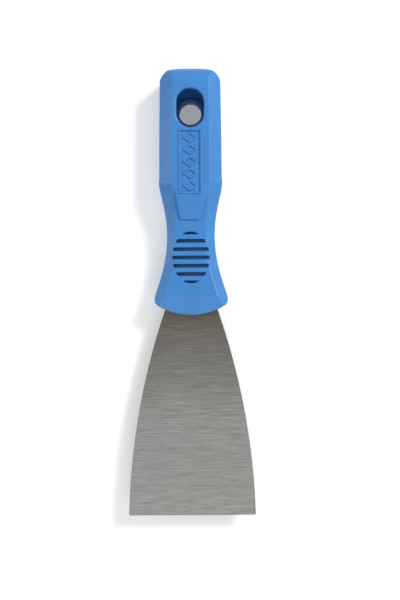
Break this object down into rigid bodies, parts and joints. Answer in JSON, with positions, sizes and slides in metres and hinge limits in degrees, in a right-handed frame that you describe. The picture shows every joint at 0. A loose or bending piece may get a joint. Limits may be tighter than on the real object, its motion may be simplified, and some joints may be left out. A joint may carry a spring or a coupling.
{
  "type": "drywall taping knife",
  "caption": "Flexible steel taping knife with a flared trapezoid blade and a hollow two-shell plastic handle with a hang hole and thumb slots.",
  "frame": {"origin": "on the flat back of the grip, under the middle of the tool's whole length and of the blade's width", "axes": "+Y from the scraping edge to the butt, +Z out of the front of the handle, X across the blade"},
  "size_m": [0.06, 0.21, 0.0204],
  "materials": {
    "blade_steel": "brushed across the width, satin",
    "handle_plastic": "fine moulded satin, blue polypropylene",
    "pin_steel": "plain drawn steel"
  },
  "bodies": {
    "root": {"blade": "blade_steel", "handle_front": "handle_plastic", "handle_rear": "handle_plastic", "tang_pins": "pin_steel"}
  },
  "joints": []
}
